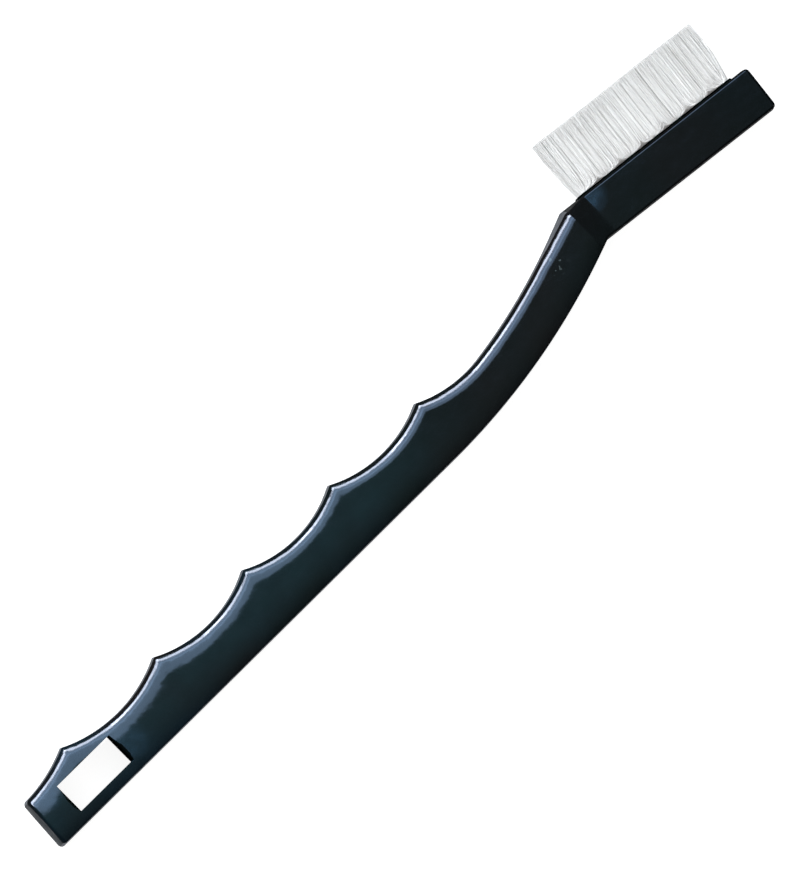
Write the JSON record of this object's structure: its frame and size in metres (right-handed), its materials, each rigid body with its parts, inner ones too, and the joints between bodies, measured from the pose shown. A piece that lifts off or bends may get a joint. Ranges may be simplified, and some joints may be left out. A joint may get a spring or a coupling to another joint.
{
  "type": "crevice brush",
  "caption": "Slim hand brush with a scalloped moulded grip, a raked narrow head and a dense block of level-cut nylon tufts, for cleaning grooves and corners.",
  "frame": {"origin": "centre of the underside of the whole brush, lying on its side", "axes": "+X along the grip from the butt to the head, +Y from the straight back to the bristle tips, +Z through the thickness"},
  "size_m": [0.184, 0.0298, 0.0111],
  "materials": {
    "handle_plastic": "satin gloss moulded black",
    "bristle_nylon": "translucent white nylon filament",
    "anchor_metal": "flat rolled wire"
  },
  "bodies": {
    "root": {"handle": "handle_plastic", "tuft_row1_1": "bristle_nylon", "tuft_row1_2": "bristle_nylon", "tuft_row1_3": "bristle_nylon", "tuft_row1_4": "bristle_nylon", "tuft_row1_5": "bristle_nylon", "tuft_row1_6": "bristle_nylon", "tuft_row1_7": "bristle_nylon", "tuft_row2_1": "bristle_nylon", "tuft_row2_2": "bristle_nylon", "tuft_row2_3": "bristle_nylon", "tuft_row2_4": "bristle_nylon", "tuft_row2_5": "bristle_nylon", "tuft_row2_6": "bristle_nylon", "tuft_row3_1": "bristle_nylon", "tuft_row3_2": "bristle_nylon", "tuft_row3_3": "bristle_nylon", "tuft_row3_4": "bristle_nylon", "tuft_row3_5": "bristle_nylon", "tuft_row3_6": "bristle_nylon", "tuft_row3_7": "bristle_nylon", "anchor_row1_1": "anchor_metal", "anchor_row1_2": "anchor_metal", "anchor_row1_3": "anchor_metal", "anchor_row1_4": "anchor_metal", "anchor_row1_5": "anchor_metal", "anchor_row1_6": "anchor_metal", "anchor_row1_7": "anchor_metal", "anchor_row2_1": "anchor_metal", "anchor_row2_2": "anchor_metal", "anchor_row2_3": "anchor_metal", "anchor_row2_4": "anchor_metal", "anchor_row2_5": "anchor_metal", "anchor_row2_6": "anchor_metal", "anchor_row3_1": "anchor_metal", "anchor_row3_2": "anchor_metal", "anchor_row3_3": "anchor_metal", "anchor_row3_4": "anchor_metal", "anchor_row3_5": "anchor_metal", "anchor_row3_6": "anchor_metal", "anchor_row3_7": "anchor_metal"}
  },
  "joints": []
}
